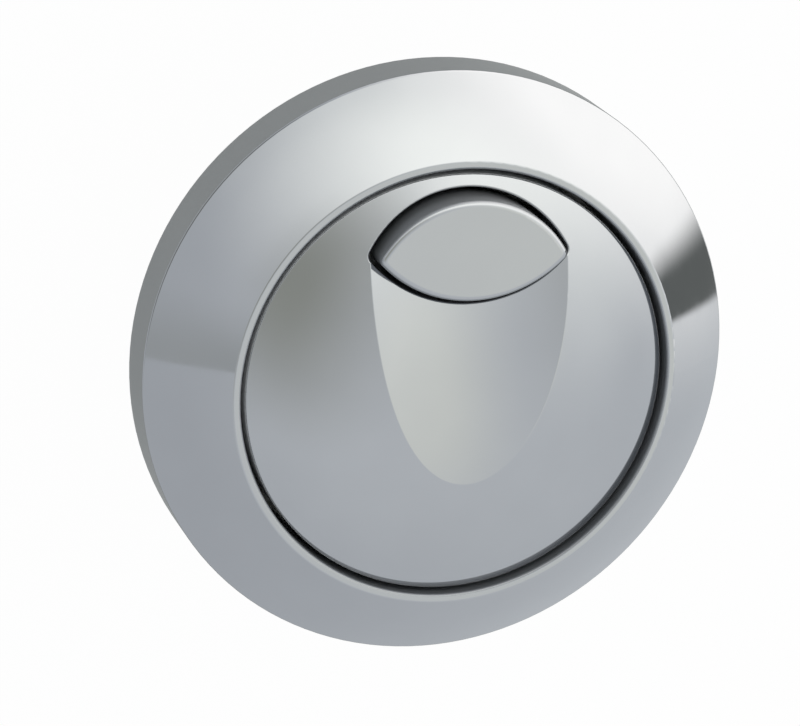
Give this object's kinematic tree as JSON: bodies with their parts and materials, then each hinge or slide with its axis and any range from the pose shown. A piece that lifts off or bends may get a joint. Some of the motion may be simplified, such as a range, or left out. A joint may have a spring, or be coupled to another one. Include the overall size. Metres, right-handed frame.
{
  "type": "push button cistern actuator",
  "caption": "Round chrome dual-flush push button for a cistern lid: domed full-flush disc with a finger scoop and a raised eye-shaped half-flush button, on a threaded tail with push rods.",
  "frame": {"origin": "centre of the hole at the cistern lid's top face, on the gasket's underside", "axes": "+Z out of the lid towards the finger, +Y from the axis towards the half-flush button"},
  "size_m": [0.0734, 0.0734, 0.0682],
  "materials": {
    "chrome": "polished plating on ABS",
    "white_abs": "moulded, satin",
    "foam": "closed-cell foam",
    "rubber": "matte",
    "acetal": "moulded, satin",
    "nylon": "moulded thread",
    "dark_nylon": "moulded",
    "spring_steel": "drawn wire and stamped sheet"
  },
  "bodies": {
    "housing": {"bezel": "chrome", "body": "white_abs", "lid_gasket": "foam", "full_return_spring": "spring_steel"},
    "full_button": {"full_flush_button": "chrome", "full_plunger": "acetal", "full_plunger_screws": "spring_steel", "full_retaining_clip": "spring_steel", "full_push_rod": "nylon", "full_locknut": "dark_nylon", "half_return_spring": "spring_steel"},
    "half_button": {"half_flush_button": "chrome", "half_plunger": "acetal", "half_retaining_clip": "spring_steel", "half_push_rod": "nylon", "half_locknut": "dark_nylon"},
    "nut_washer": {"nut_washer": "rubber"},
    "backnut": {"backnut": "white_abs"}
  },
  "joints": [
    {"name": "full_flush_press", "type": "slide", "parent": "housing", "child": "full_button", "axis": [0, 0, -1], "range_m": [0, 0.0055], "stiffness_N_per_m": 350, "springref_m": -0.012, "deforming": ["full_return_spring"]},
    {"name": "half_flush_press", "type": "slide", "parent": "full_button", "child": "half_button", "axis": [0, 0, -1], "range_m": [0, 0.004], "stiffness_N_per_m": 300, "springref_m": -0.008, "deforming": ["half_return_spring"]},
    {"name": "nut_travel", "type": "slide", "parent": "housing", "child": "nut_washer", "axis": [0, 0, -1], "range_m": [-0.00305, 0.01205]},
    {"name": "nut_turn", "type": "hinge", "parent": "nut_washer", "child": "backnut", "pos_m": [0, 0, -0.0075], "axis": [0, 0, -1], "range_deg": [-360, 1440]}
  ],
  "couplings": [
    {"joint": "nut_travel", "follows": "nut_turn", "m_per_rad": 0.00047746}
  ]
}
